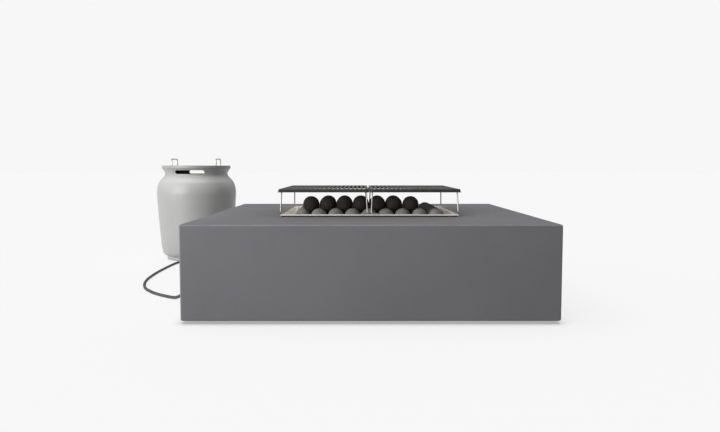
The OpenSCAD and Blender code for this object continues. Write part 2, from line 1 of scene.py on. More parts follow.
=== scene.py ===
"""The looks of a gas fire pit with two lift-off grates, its hose and its covered gas bottle."""

import math

import bmesh
import bpy
from mathutils import Matrix, Vector, noise


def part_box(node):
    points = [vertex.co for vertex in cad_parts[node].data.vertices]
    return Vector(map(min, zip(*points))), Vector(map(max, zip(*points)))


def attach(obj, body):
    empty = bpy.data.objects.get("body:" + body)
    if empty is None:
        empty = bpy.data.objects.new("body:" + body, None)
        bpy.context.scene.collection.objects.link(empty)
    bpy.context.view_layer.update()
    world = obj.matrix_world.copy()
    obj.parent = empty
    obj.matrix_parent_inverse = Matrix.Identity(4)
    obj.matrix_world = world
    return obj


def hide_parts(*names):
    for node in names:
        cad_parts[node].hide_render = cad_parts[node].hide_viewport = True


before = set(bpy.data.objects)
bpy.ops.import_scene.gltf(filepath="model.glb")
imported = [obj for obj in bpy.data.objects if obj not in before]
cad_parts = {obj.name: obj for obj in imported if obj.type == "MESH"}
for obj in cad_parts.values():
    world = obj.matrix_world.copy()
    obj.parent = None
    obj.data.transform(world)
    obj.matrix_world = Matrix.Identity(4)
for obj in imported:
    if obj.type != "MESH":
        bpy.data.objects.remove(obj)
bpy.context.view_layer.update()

# Lengths are in metres. Points nearer than SAME_PLACE are one, and edges under NO_LENGTH go.
MM = 0.001
UP = Vector((0, 0, 1))
SAME_PLACE = 1e-6
NO_LENGTH = 1e-7


# ---------- Places taken from the frame ----------

def middle(node):
    """The middle of a node's box."""
    low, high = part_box(node)
    return (low + high) / 2


def foot(node):
    """The place on the floor under a node's middle."""
    return Vector((*middle(node).xy, 0))


def box_halves(node):
    """A node's box, with half its width and half its depth."""
    low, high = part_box(node)
    return low, high, (high.x - low.x) / 2, (high.y - low.y) / 2


pit_low, pit_high, PIT_HALF, _ = box_halves("concrete_shell")
PIT = foot("concrete_shell")
PIT_TOP = pit_high.z
WALL = pit_low.x
BOTTLE = foot("cover_drum")


# ---------- Camera, floor and light ----------

# The lens and the sensor are in millimetres, and the tilt is in degrees below level.
CAMERA_AT = (0.2334, -3.0221, 0.5026)
CAMERA_DOWN = 4.174
CAMERA_LENS = 33.63
CAMERA_SENSOR = 36
CAMERA_REACH = 200

# How bright the background looks, and how it lights things from its dark and its bright side.
BACKDROP = 0.93
AMBIENT = (0.02, 0.56)
AMBIENT_FROM = Vector((-0.70, 0.50, 0.50))

FLOOR_REACH = 60
FLOOR_GLOW = 0.40
FLOOR_TONE = 0.30

# Of the softboxes and suns on the object, only the overhead sun reaches the floor too. The floor
# has a sun of its own, shaded by the pit's body alone. One softbox is for the cover's shell
# alone, and the fills are for the pan alone, shaded by the pit's body alone.

# Softboxes: place, aim, watts, width and height.
SOFTBOXES = {
    "softbox": ((-2.8, -2.2, 0.95), (0.0, -2.0, 0.1), 70, 3.2, 1.6),
    "cover_top": ((-0.95, 0.0, 2.5), (-0.67, 0.69, 0.4), 28, 2.2, 1.4),
}

# Suns: the side that each shines from, its strength, and how many degrees wide it looks.
SUNS = {
    "overhead": ((-0.8, 0.15, 2.2), 0.60, 60),
    "right_back": ((1.6, 1.4, 1.0), 0.38, 50),
    "front": ((-1.5, -2.5, 0.7), 1.05, 40),
    "floor_light": ((0, 0, 3), 3.86, 14),
}
PAN_FILLS = {
    "pan_fill_right": ((1.2, -0.5, 0.35), 2.0, 40),
    "pan_fill_left": ((-1.2, -0.5, 0.35), 1.0, 40),
}


def new_object(name, data):
    made = bpy.data.objects.new(name, data)
    bpy.context.scene.collection.objects.link(made)
    return made


def add_camera():
    data = bpy.data.cameras.new("camera")
    data.lens = CAMERA_LENS
    data.sensor_width = CAMERA_SENSOR
    data.clip_end = CAMERA_REACH
    camera = new_object("camera", data)
    camera.location = CAMERA_AT
    camera.rotation_euler = (math.radians(90 - CAMERA_DOWN), 0, 0)
    bpy.context.scene.camera = camera


def add_light(name, kind, at, towards, power, **settings):
    data = bpy.data.lights.new(name, kind)
    data.energy = power
    for key, value in settings.items():
        setattr(data, key, value)
    light = new_object(name, data)
    light.location = at
    light.rotation_euler = (Vector(towards) - Vector(at)).to_track_quat("-Z", "Y").to_euler()
    light.visible_camera = False
    return light


def add_softbox(name, at, towards, power, width, height):
    return add_light(name, "AREA", at, towards, power, shape="RECTANGLE", size=width, size_y=height)


def add_sun(name, side, strength, width):
    return add_light(name, "SUN", side, (0, 0, 0), strength, angle=math.radians(width))


def set_inputs(node, values):
    for socket, value in values.items():
        node.inputs[socket].default_value = value


def add_world():
    """White behind the object, and a soft light on it that is strongest from the upper left."""
    world = bpy.data.worlds.new("studio")
    world.use_nodes = True
    nodes, links = world.node_tree.nodes, world.node_tree.links
    way = nodes.new("ShaderNodeVectorMath")
    way.operation = "DOT_PRODUCT"
    way.inputs[1].default_value = AMBIENT_FROM.normalized()
    links.new(nodes.new("ShaderNodeTexCoord").outputs["Generated"], way.inputs[0])
    soft = nodes.new("ShaderNodeMapRange")
    set_inputs(soft, {"From Min": -1, "From Max": 1, "To Min": AMBIENT[0], "To Max": AMBIENT[1]})
    links.new(way.outputs["Value"], soft.inputs["Value"])
    # A Mix node's inputs 0, 2 and 3 are its share and its two numbers.
    strength = nodes.new("ShaderNodeMix")
    strength.inputs[3].default_value = BACKDROP
    links.new(nodes.new("ShaderNodeLightPath").outputs["Is Camera Ray"], strength.inputs[0])
    links.new(soft.outputs["Result"], strength.inputs[2])
    nodes["Background"].inputs["Color"].default_value = (1, 1, 1, 1)
    links.new(strength.outputs[0], nodes["Background"].inputs["Strength"])
    bpy.context.scene.world = world


def rectangle(a, b):
    """The corners of a rectangle of half sizes a and b."""
    return [(-a, -b), (a, -b), (a, b), (-a, b)]


def add_floor():
    """A plain pale floor, which glows a little and so runs into the background without a line."""
    mesh = bpy.data.meshes.new("floor")
    corners = [(x, y, 0) for x, y in rectangle(FLOOR_REACH, FLOOR_REACH)]
    mesh.from_pydata(corners, [], [(0, 1, 2, 3)])
    floor = new_object("floor", mesh)
    floor.visible_diffuse = False
    material = bpy.data.materials.new("floor")
    material.use_nodes = True
    set_inputs(material.node_tree.nodes["Principled BSDF"], {
        "Base Color": (FLOOR_TONE, FLOOR_TONE, FLOOR_TONE, 1), "Roughness": 1,
        "Specular IOR Level": 0, "Emission Color": (1, 1, 1, 1), "Emission Strength": FLOOR_GLOW})
    mesh.materials.append(material)
    return floor


def linked_things(name, things, state):
    """A collection of objects, all of them included in a light's links or all excluded."""
    linked = bpy.data.collections.new(name)
    for thing in things:
        linked.objects.link(thing)
    for entry in linked.collection_objects:
        entry.light_linking.link_state = state
    return linked


def link_light(light, state, *things):
    """Lets a light reach everything but some objects (EXCLUDE), or those alone (INCLUDE)."""
    receivers = linked_things(light.name + "_receivers", things, state)
    light.light_linking.receiver_collection = receivers


def only_shaded_by(light, *things):
    """Lets these objects alone throw shadows in a light."""
    blockers = linked_things(light.name + "_blockers", things, "INCLUDE")
    light.light_linking.blocker_collection = blockers


add_camera()
add_world()
floor = add_floor()
lights = {name: add_softbox(name, *row) for name, row in SOFTBOXES.items()}
lights |= {name: add_sun(name, *row) for name, row in SUNS.items()}
for light_name in ("softbox", "front", "right_back"):
    link_light(lights[light_name], "EXCLUDE", floor)
link_light(lights["floor_light"], "INCLUDE", floor)
bpy.context.scene.view_settings.view_transform = "Standard"


# ---------- Lines and meshes ----------

# A section is a list of corners (a, b, r, z, rounding), carried round a rectangle of half sizes
# a and b, whose own corners are rounded to r. A turned piece has a = b = r.
# A step wider than this beside a point is a flat face, and a corner rounder than this is no edge.
WIDE = 0.03


def ring(a, b, r, steps):
    """A rounded rectangle, as x, y and how near a corner's middle each point is, from 0 to 1."""
    points = []
    for sx, sy, start in ((1, 1, 0), (-1, 1, 90), (-1, -1, 180), (1, -1, 270)):
        for i in range(steps + 1):
            turn = math.radians(start + 90 * i / steps)
            x = sx * (a - r) + r * math.cos(turn)
            y = sy * (b - r) + r * math.sin(turn)
            points.append((x, y, math.sin(math.pi * i / steps)))
    return points


def rounded(corners, closed=True, steps=4):
    """A section's rows (a, b, r, z, on_edge), with its corners turned on arcs."""
    rows = []
    for i, (*here, radius) in enumerate(corners):
        here = Vector(here)
        end = not closed and i in (0, len(corners) - 1)
        if end or radius == 0:
            rows.append((*here, 0.0))
            continue
        ways = []
        for other in (corners[i - 1], corners[(i + 1) % len(corners)]):
            way = Vector(other[:4]) - here
            ways.append(way * (radius / max(abs(way[0]), abs(way[1]), abs(way[3]))))
        for k in range(steps + 1):
            turn = math.pi / 2 * k / steps
            row = here + (1 - math.sin(turn)) * ways[0] + (1 - math.cos(turn)) * ways[1]
            rows.append((*row, math.sin(math.pi * k / steps)))
    return rows


def around(corners):
    """Section corners (radius, z, rounding) of a turned piece, as rings."""
    return [(r, r, r, z, rounding) for r, z, rounding in corners]


def from_bmesh(name, made, smooth_below=40):
    """A piece from a bmesh, with its faces turned outwards and shaded smooth up to an angle."""
    bmesh.ops.remove_doubles(made, verts=made.verts, dist=SAME_PLACE)
    bmesh.ops.dissolve_degenerate(made, edges=made.edges, dist=NO_LENGTH)
    bmesh.ops.recalc_face_normals(made, faces=made.faces)
    mesh = bpy.data.meshes.new(name)
    made.to_mesh(mesh)
    made.free()
    shade(mesh, smooth_below)
    return new_object(name, mesh)


def shade(mesh, smooth_below=40):
    mesh.polygons.foreach_set("use_smooth", [True] * len(mesh.polygons))
    mesh.set_sharp_from_angle(angle=math.radians(smooth_below))


def add_skin(made, rings):
    """Faces from each ring of points to the next."""
    for low, high in zip(rings, rings[1:]):
        for i in range(len(low)):
            j = (i + 1) % len(low)
            made.faces.new((low[i], low[j], high[j], high[i]))


def add_rows(made, rows, steps, centre, closed):
    """Adds the skin over rows of rings to a bmesh, with how much each point lies on a rounded edge,
    where the concrete is painted paler, as worn edges and a painted highlight.
    """
    wear_and_highlight = made.verts.layers.float.get("wear_and_highlight") or made.verts.layers.float.new("wear_and_highlight")
    rings = []
    for k, (a, b, r, z, on_edge) in enumerate(rows):
        beside_flat = any(abs(z - other[3]) < SAME_PLACE and abs(a - other[0]) > WIDE
                          for other in (rows[k - 1], rows[(k + 1) % len(rows)]))
        loop = []
        for x, y, at_corner in ring(a, b, r, steps):
            vert = made.verts.new((centre[0] + x, centre[1] + y, centre[2] + z))
            vert[wear_and_highlight] = max(on_edge, 0.0 if beside_flat or r >= WIDE else at_corner)
            loop.append(vert)
        rings.append(loop)
    add_skin(made, rings + rings[:1] if closed else rings)


def loft(name, sections, centre, steps=4, closed=True, smooth_below=40, corner_steps=4):
    """One piece from one or more sections, each carried round a rectangle or circle."""
    made = bmesh.new()
    for corners in sections:
        add_rows(made, rounded(corners, closed, corner_steps), steps, centre, closed)
    return from_bmesh(name, made, smooth_below)


def applied(piece):
    """Turns a piece's modifiers into mesh."""
    graph = bpy.context.evaluated_depsgraph_get()
    mesh = bpy.data.meshes.new_from_object(piece.evaluated_get(graph))
    mesh.name = piece.name
    piece.modifiers.clear()
    old, piece.data = piece.data, mesh
    bpy.data.meshes.remove(old)
    return piece


def cut(piece, cutters, smooth_below=40):
    """Takes the cutters out of a piece, and removes them."""
    for cutter in cutters:
        modifier = piece.modifiers.new("cut", "BOOLEAN")
        modifier.operation = "DIFFERENCE"
        modifier.solver = "EXACT"
        modifier.object = cutter
    applied(piece)
    for cutter in cutters:
        bpy.data.meshes.remove(cutter.data)
    shade(piece.data, smooth_below)
    return piece


def add_bevel(piece, width, angle=40):
    """Eases the edges that are sharper than an angle."""
    modifier = piece.modifiers.new("bevel", "BEVEL")
    modifier.width = width
    modifier.segments = 2
    modifier.limit_method = "ANGLE"
    modifier.angle_limit = math.radians(angle)
    modifier.miter_outer = "MITER_ARC"
    normals = piece.modifiers.new("normals", "WEIGHTED_NORMAL")
    normals.keep_sharp = True
    return piece


def prism(name, outline, low, high, place=Matrix()):
    """A straight block over an outline of x and y points, moved to its place."""
    made = bmesh.new()
    ends = [[made.verts.new((x, y, z)) for x, y in outline] for z in (low, high)]
    for end in ends:
        made.faces.new(end)
    add_skin(made, ends)
    made.transform(place)
    return from_bmesh(name, made, 30)


def outline_of(a, b, r, steps):
    """The ring's points without doubles, as an outline for a prism."""
    points = []
    for x, y, _ in ring(a, b, r, steps):
        if not points or math.dist(points[-1], (x, y)) > SAME_PLACE:
            points.append((x, y))
    if math.dist(points[0], points[-1]) < SAME_PLACE:
        points.pop()
    return points


def bend(points, radius, closed=False, steps=7):
    """A line through the points, with each corner turned on an arc."""
    points = [Vector(p) for p in points]
    line = []
    for i, here in enumerate(points):
        if not closed and i in (0, len(points) - 1):
            line.append(here)
            continue
        before = (points[i - 1] - here).normalized()
        after = (points[(i + 1) % len(points)] - here).normalized()
        half = before.angle(after) / 2
        centre = here + (before + after).normalized() * (radius / math.sin(half))
        first = here + before * (radius / math.tan(half)) - centre
        last = here + after * (radius / math.tan(half)) - centre
        axis = first.cross(last).normalized()
        for k in range(steps + 1):
            line.append(centre + Matrix.Rotation(first.angle(last) * k / steps, 3, axis) @ first)
    return line


def smooth_line(points, steps):
    """A Catmull-Rom curve through the points."""
    points = [Vector(p) for p in points]
    last = len(points) - 1
    line = []
    for i in range(last):
        a, b, c, d = (points[min(max(k, 0), last)] for k in (i - 1, i, i + 1, i + 2))
        for k in range(steps):
            t = k / steps
            line.append(0.5 * (2 * b + (c - a) * t + (2 * a - 5 * b + 4 * c - d) * t * t
                               + (3 * b - a - 3 * c + d) * t ** 3))
    return line + [points[last]]


def tube(name, line, radius, sides=14, closed=False):
    """A round wire or hose along a line, with how far along it and around it each point is."""
    made = bmesh.new()
    along = made.verts.layers.float.new("along")
    turn = made.verts.layers.float.new("turn")
    count = len(line)
    side, gone, rings = None, 0.0, []
    for i, here in enumerate(line):
        before = line[i - 1] if closed or i else here
        after = line[(i + 1) % count] if closed or i < count - 1 else here
        way = (after - before).normalized()
        if side is None:
            side = way.orthogonal().normalized()
        side = (side - way * side.dot(way)).normalized()
        gone += (here - line[i - 1]).length if i else 0.0
        loop = []
        for k in range(sides):
            angle = 2 * math.pi * k / sides
            out = math.cos(angle) * side + math.sin(angle) * way.cross(side)
            vert = made.verts.new(here + radius * out)
            vert[along], vert[turn] = gone, abs(2 * k / sides - 1)
            loop.append(vert)
        rings.append(loop)
    # Round a closed line the sides may come back turned by some steps.
    if closed:
        first, last = rings[0], rings[-1]
        shift = min(range(sides), key=lambda s: (last[0].co - first[s].co).length)
        rings.append(first[shift:] + first[:shift])
    add_skin(made, rings)
    if not closed:
        for end in (rings[0], rings[-1]):
            made.faces.new(end)
    return from_bmesh(name, made, 50)


def join(name, pieces):
    """Several made pieces as one piece."""
    made = bmesh.new()
    for piece in pieces:
        made.from_mesh(piece.data)
        bpy.data.meshes.remove(piece.data)
    mesh = bpy.data.meshes.new(name)
    made.to_mesh(mesh)
    made.free()
    return new_object(name, mesh)


def set_up(piece, body, finish, *nodes):
    """Gives a piece its finish and its body, and hides the CAD nodes that it stands for."""
    piece.data.materials.clear()
    piece.data.materials.append(finish.material)
    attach(piece, body)
    if nodes:
        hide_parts(*nodes)
    return piece


# ---------- Materials ----------

COAT_ROUGHNESS = 0.25


def tone(red, green, blue):
    """A colour from its display values, 0 to 255."""
    values = [c / 255 for c in (red, green, blue)]
    return (*(c / 12.92 if c <= 0.04045 else ((c + 0.055) / 1.055) ** 2.4 for c in values), 1)


class Finish:
    """A material, its slot, and the nodes that feed its shader in the piece's own coordinates."""

    def __init__(self, name, slot=None, metallic=0.0, specular=0.5, coat=0.0):
        self.slot = slot or name
        self.material = bpy.data.materials.new(name)
        self.material.use_nodes = True
        self.tree = self.material.node_tree
        self.shader = self.tree.nodes["Principled BSDF"]
        set_inputs(self.shader, {"Metallic": metallic, "Specular IOR Level": specular,
                                 "Coat Weight": coat, "Coat Roughness": COAT_ROUGHNESS})
        self.place = self.node("ShaderNodeTexCoord").outputs["Object"]

    def node(self, kind, inputs=None, **settings):
        made = self.tree.nodes.new(kind)
        for key, value in settings.items():
            setattr(made, key, value)
        for key, value in (inputs or {}).items():
            self.feed(made.inputs[key], value)
        return made

    def feed(self, socket, value):
        if isinstance(value, bpy.types.NodeSocket):
            self.tree.links.new(value, socket)
        else:
            socket.default_value = value

    def stretched(self, stretch):
        """The piece's coordinates, drawn out along its axes."""
        return self.node("ShaderNodeMapping", {"Vector": self.place, "Scale": stretch}).outputs[0]

    def noise(self, size, detail=3.0, stretch=(1, 1, 1)):
        """Soft noise from 0 to 1, with features of about that size."""
        inputs = {"Vector": self.stretched(stretch), "Scale": 1 / size, "Detail": detail}
        return self.node("ShaderNodeTexNoise", inputs).outputs[0]

    def clouds(self, size, detail, low=0.3, high=0.7):
        """Noise whose values from low to high are spread over 0 to 1."""
        return self.level(self.noise(size, detail), low, high)

    def cells(self, size):
        """Distance from the middle of each of many scattered cells."""
        inputs = {"Vector": self.stretched((1, 1, 1)), "Scale": 1 / size}
        return self.node("ShaderNodeTexVoronoi", inputs).outputs["Distance"]

    def level(self, value, low, high, to_low=0.0, to_high=1.0):
        """A value from low to high, spread over another range and held inside it."""
        inputs = {"Value": value, "From Min": low, "From Max": high,
                  "To Min": to_low, "To Max": to_high}
        return self.node("ShaderNodeMapRange", inputs).outputs[0]

    def sum(self, operation, first, second=0.0):
        """One step of arithmetic."""
        made = self.node("ShaderNodeMath", operation=operation)
        self.feed(made.inputs[0], first)
        self.feed(made.inputs[1], second)
        return made.outputs[0]

    def times(self, first, second):
        return self.sum("MULTIPLY", first, second)

    def inverse(self, value):
        return self.sum("SUBTRACT", 1.0, value)

    def attribute(self, name):
        return self.node("ShaderNodeAttribute", attribute_name=name).outputs["Fac"]

    def mix(self, share, first, second):
        """Two colours mixed. A Mix node's colours are its inputs 6 and 7 and its output 2."""
        made = self.node("ShaderNodeMix", data_type="RGBA")
        self.feed(made.inputs[0], share)
        self.feed(made.inputs[6], first)
        self.feed(made.inputs[7], second)
        return made.outputs[2]

    def tint(self, body, where, amount, other):
        """A colour with some of another mixed in, by where that one shows and how much."""
        return self.mix(self.times(where, amount), body, other)

    def colour(self, value):
        self.feed(self.shader.inputs["Base Color"], value)

    def rough(self, value, low, high, top=1):
        """Roughness from low to high, as a value goes from 0 to its top."""
        self.feed(self.shader.inputs["Roughness"], self.level(value, 0, top, low, high))

    def bump(self, height, depth):
        """Adds relief of about that depth, on top of any before it."""
        made = self.node("ShaderNodeBump", {"Height": height, "Distance": depth, "Strength": 1.0})
        before = self.shader.inputs["Normal"].links
        if before:
            self.tree.links.new(before[0].from_socket, made.inputs["Normal"])
        self.tree.links.new(made.outputs[0], self.shader.inputs["Normal"])


def concrete():
    """Fine cast concrete: clouding, sand grain, a few pin holes, and paler edges, partly worn and
    partly a painted highlight.
    """
    f = Finish("cast_concrete", "concrete", specular=0.45)
    clouds = f.clouds(0.45, 4)
    patches = f.clouds(0.04, 5)
    grain = f.clouds(0.0016, 2, 0.25, 0.75)
    body = f.mix(clouds, tone(116, 116, 120), tone(126, 126, 130))
    body = f.tint(body, patches, 0.35, tone(131, 131, 134))
    body = f.tint(body, grain, 0.22, tone(92, 92, 95))
    holes = f.times(f.level(f.cells(0.011), 0.10, 0.05), f.clouds(0.09, 2, 0.55, 0.65))
    body = f.tint(body, holes, 0.55, tone(66, 66, 68))
    # The paler edges are partly worn concrete and partly a painted highlight along the rounded
    # edges.
    rubbed_and_highlight = f.level(f.noise(0.03, 4), 0.35, 0.6, 0.25, 0.6)
    f.colour(f.tint(body, f.attribute("wear_and_highlight"), rubbed_and_highlight, tone(152, 152, 154)))
    f.rough(patches, 0.58, 0.72)
    f.bump(grain, 0.00006)
    f.bump(f.noise(0.012, 3), 0.0002)
    f.bump(f.inverse(holes), 0.0005)
    return f


def brushed_steel(name, light, dark, stretch, roughness, metallic=1.0):
    """Stainless sheet with a fine grain one way, faint marks and fingered patches."""
    f = Finish(name, "stainless", metallic=metallic)
    lines = f.level(f.noise(0.0012, 3, stretch), 0.3, 0.7)
    marks = f.clouds(0.05, 4, 0.35, 0.7)
    body = f.mix(lines, dark, light)
    f.colour(f.tint(body, marks, 0.3, dark))
    f.rough(f.sum("ADD", lines, marks), roughness - 0.08, roughness + 0.14, top=2)
    f.bump(lines, 0.00003)
    return f


def wire_steel(name, light, dark, roughness):
    """Drawn stainless wire, with a fine grain and a faint haze."""
    f = Finish(name, metallic=1.0)
    lines = f.clouds(0.0009, 3)
    haze = f.clouds(0.03, 3, 0.35, 0.7)
    f.colour(f.tint(light, f.sum("ADD", lines, haze), 0.5, dark))
    f.rough(haze, roughness, roughness + 0.15)
    f.bump(lines, 0.00002)
    return f


def enamel():
    """Black baked enamel: a faint orange peel, dust clouds, and a painted sheen that makes what
    faces up lighter.
    """
    f = Finish("grate_enamel")
    dust = f.clouds(0.02, 5, 0.35, 0.7)
    grain = f.clouds(0.0011, 2)
    normal = f.node("ShaderNodeTexCoord").outputs["Normal"]
    upward = f.node("ShaderNodeSeparateXYZ", {"Vector": normal}).outputs["Z"]
    black = f.mix(dust, tone(26, 26, 26), tone(38, 38, 37))
    # The lighter tones are a painted sheen for what faces up, mottled by the dust clouds.
    top_sheen = f.mix(dust, tone(55, 55, 54), tone(73, 73, 71))
    body = f.mix(f.level(upward, 0.3, 0.9), black, top_sheen)
    f.colour(f.tint(body, grain, 0.25, tone(64, 64, 62)))
    f.rough(dust, 0.36, 0.5)
    f.bump(f.noise(0.0022, 2), 0.00012)
    f.bump(grain, 0.00003)
    return f


def fired_ceramic(name, dark, light, ash):
    """A rough pressed ceramic ball: pits, sandy grain and scuffs, and a near-black painted shade
    where it isn't pale.
    """
    f = Finish(name, "ball_ceramic", specular=0.25)
    clouds = f.clouds(0.03, 4)
    grain = f.clouds(0.0014, 3)
    # Where paleness is low the ball is painted near black, a painted shade.
    body = f.mix(f.attribute("paleness"), tone(24, 23, 23), f.mix(clouds, dark, light))
    body = f.tint(body, grain, 0.45, ash)
    pits = f.times(f.level(f.cells(0.0042), 0.3, 0.12), f.clouds(0.012, 2, 0.42, 0.6))
    body = f.tint(body, pits, 0.7, tone(12, 12, 12))
    scuffs = f.clouds(0.008, 6, 0.62, 0.7)
    f.colour(f.tint(body, scuffs, 0.5, ash))
    f.rough(grain, 0.78, 0.95)
    f.bump(grain, 0.00025)
    f.bump(f.inverse(pits), 0.0006)
    f.bump(f.noise(0.009, 2), 0.0006)
    return f


def sprayed_paint(name, light, dark, roughness, peel=0.0016):
    """Powder coat: an even tone with soft clouding and a fine peel."""
    f = Finish(name, coat=0.1)
    clouds = f.clouds(0.12, 3)
    grain = f.clouds(peel, 2)
    body = f.mix(clouds, dark, light)
    f.colour(f.tint(body, grain, 0.12, dark))
    f.rough(clouds, roughness - 0.04, roughness + 0.06)
    f.bump(grain, 0.00007)
    return f


def moulded_plastic(name, body, sheen):
    """Black moulded plastic, with worn patches painted lighter, as a painted sheen."""
    f = Finish(name)
    grain = f.clouds(0.0008, 2)
    wear_and_highlight = f.clouds(0.01, 4, 0.5, 0.72)
    # The lighter patches are a painted sheen on worn places.
    f.colour(f.tint(body, wear_and_highlight, 0.5, sheen))
    f.rough(grain, 0.42, 0.58)
    f.bump(grain, 0.00004)
    return f


def machined_brass():
    """Turned brass, tarnished in patches."""
    f = Finish("brass", metallic=1.0)
    tarnish = f.clouds(0.012, 4, 0.35, 0.7)
    lines = f.clouds(0.0007, 2)
    body = f.mix(tarnish, tone(212, 178, 104), tone(150, 116, 62))
    f.colour(f.tint(body, lines, 0.25, tone(120, 92, 50)))
    f.rough(tarnish, 0.26, 0.46)
    f.bump(lines, 0.00003)
    return f


def cast_alloy():
    """Die-cast alloy with a blasted, slightly lumpy skin."""
    f = Finish("regulator_casting", metallic=0.85)
    grain = f.clouds(0.0012, 3)
    clouds = f.clouds(0.015, 3)
    f.colour(f.mix(clouds, tone(150, 152, 154), tone(122, 124, 127)))
    f.rough(grain, 0.42, 0.6)
    f.bump(grain, 0.00012)
    return f


def dusty_rubber(name, body, worn):
    """Moulded rubber with a fine grain, and dust in patches."""
    f = Finish(name, specular=0.3)
    grain = f.clouds(0.0008, 2)
    dust = f.clouds(0.03, 5, 0.4, 0.72)
    f.colour(f.tint(body, dust, 0.6, worn))
    f.rough(dust, 0.6, 0.82)
    f.bump(grain, 0.00006)
    return f


def wrapped_rubber():
    """Gas hose rubber: the weave that the curing cloth leaves, a mould line and dust on top."""
    f = Finish("hose_rubber", specular=0.45)
    along, turn = f.attribute("along"), f.attribute("turn")
    full_turn, wrap_pitch, threads_round = 2 * math.pi, 0.0022, 9
    slant = f.sum("ADD", f.times(along, full_turn / wrap_pitch), f.times(turn, full_turn))
    wrap = f.sum("SINE", slant)
    threads = f.sum("SINE", f.times(turn, full_turn * threads_round))
    weave = f.level(f.times(wrap, threads), -1, 1)
    dust = f.clouds(0.05, 5, 0.35, 0.7)
    body = f.mix(dust, tone(50, 50, 52), tone(80, 80, 81))
    f.colour(f.tint(body, weave, 0.25, tone(40, 40, 42)))
    f.rough(dust, 0.42, 0.62)
    f.bump(weave, 0.00018)
    f.bump(f.level(turn, 0.0, 0.04, 1.0, 0.0), 0.0003)
    return f


def glazed_ceramic():
    """White glazed insulator, with faint clouds in the glaze."""
    f = Finish("electrode_ceramic", coat=0.3)
    clouds = f.clouds(0.004, 3)
    f.colour(f.mix(clouds, tone(232, 228, 216), tone(208, 200, 184)))
    f.rough(clouds, 0.22, 0.35)
    f.bump(clouds, 0.00005)
    return f


CONCRETE = concrete()
SHEET_STEEL = brushed_steel("stainless", tone(236, 230, 221), tone(220, 214, 205),
                            (0.03, 1, 1), 0.45, 0.35)
PANEL_STEEL = brushed_steel("stainless_panel", tone(205, 205, 204), tone(170, 170, 170),
                            (1, 0.03, 1), 0.3)
LEG_WIRE = wire_steel("leg_wire", tone(180, 178, 175), tone(140, 138, 135), 0.3)
HANDLE_WIRE = wire_steel("handle_wire", tone(206, 202, 196), tone(150, 144, 138), 0.28)
ENAMEL = enamel()
# The upper layer's near-black tones are painted shade, for the grate's shadow on the same ceramic
# as the lower layer.
UPPER_CERAMIC = fired_ceramic("ball_ceramic_painted_shade", tone(28, 27, 27), tone(42, 41, 40),
                              tone(64, 62, 60))
LOWER_CERAMIC = fired_ceramic("ball_ceramic_grey", tone(102, 102, 101), tone(132, 132, 130),
                              tone(156, 155, 153))
COVER_PAINT = sprayed_paint("cover_paint", tone(182, 183, 181), tone(177, 178, 176), 0.40)
BOTTLE_PAINT = sprayed_paint("bottle_paint", tone(206, 208, 208), tone(194, 197, 197), 0.38, 0.0022)
DARK_STEEL = sprayed_paint("dark_steel", tone(52, 52, 54), tone(42, 42, 44), 0.5)
PLASTIC = moulded_plastic("black_plastic", tone(26, 26, 27), tone(52, 52, 53))
BRASS = machined_brass()
CASTING = cast_alloy()
HOSE = wrapped_rubber()
FOOT_RUBBER = dusty_rubber("foot_rubber", tone(30, 30, 31), tone(60, 60, 60))
GLAZED = glazed_ceramic()


# ---------- Hose ----------

# The hose's route is in millimetres, from the pit's inlet to the bottle's regulator.
HOSE_RADIUS = 6 * MM
HOSE_ROUTE = [
    (-372, -541, 36), (-382, -541, 36), (-392, -541, 36), (-405, -540, 35), (-418, -537, 32),
    (-431, -531, 26), (-444, -522, 19), (-457, -510, 12), (-471, -497, 8), (-495, -476, 6),
    (-522, -453, 6), (-550, -427, 6), (-582, -392, 6), (-613, -349, 6), (-644, -297, 6),
    (-670, -232, 6), (-684, -186, 6), (-695, -141, 6), (-708, -70, 6), (-717, 23, 6),
    (-722, 108, 6), (-724, 204, 6), (-723, 304, 6), (-721, 389, 6), (-716, 444, 6),
    (-708, 486, 6), (-695, 516, 6), (-675, 538, 6), (-644, 553, 6), (-608, 566, 6),
    (-575, 588, 6), (-550, 618, 7), (-541, 638, 11), (-534, 658, 22), (-530, 673, 38),
    (-528, 684, 60), (-528, 689, 90), (-528, 689, 130), (-528, 689, 235), (-528, 689, 341),
]
FERRULE_RADIUS, FERRULE_BORE = 8.5 * MM, 5.3 * MM
INLET_FERRULE_LENGTH = 24 * MM


def ferrule(name, start, way, length):
    """A crimped sleeve along a straight line, with three rolled grooves and a bore."""
    groove, narrow = 1.6 * MM, FERRULE_RADIUS - 1.1 * MM
    corners = [(FERRULE_BORE, 0, 0.3 * MM), (FERRULE_RADIUS, 0, 0.8 * MM)]
    for share in (0.3, 0.5, 0.7):
        at = share * length
        corners += [(FERRULE_RADIUS, at - 2 * groove, 0.5 * MM), (narrow, at - groove, 0.5 * MM),
                    (narrow, at + groove, 0.5 * MM), (FERRULE_RADIUS, at + 2 * groove, 0.5 * MM)]
    corners += [(FERRULE_RADIUS, length, 0.8 * MM), (FERRULE_BORE, length, 0.3 * MM)]
    piece = loft(name, [around(corners)], (0, 0, 0), steps=8, corner_steps=2, smooth_below=60)
    turn = UP.rotation_difference(Vector(way)).to_matrix().to_4x4()
    piece.data.transform(Matrix.Translation(start) @ turn)
    return piece


def add_hose():
    line = smooth_line([Vector(p) * MM for p in HOSE_ROUTE], 5)
    hose = tube("gas_hose_rubber", line, HOSE_RADIUS, sides=20)
    set_up(hose, "fire_pit", HOSE, "gas_hose")
    ferrules_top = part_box("hose_ferrules")[1].z
    inlet = ferrule("inlet_ferrule", line[0], (1, 0, 0), INLET_FERRULE_LENGTH)
    outlet = ferrule("regulator_ferrule", line[-1], (0, 0, 1), ferrules_top - line[-1].z)
    for piece in (inlet, outlet):
        set_up(piece, "fire_pit", PANEL_STEEL, "hose_ferrules")


add_hose()


# ---------- Pit ----------

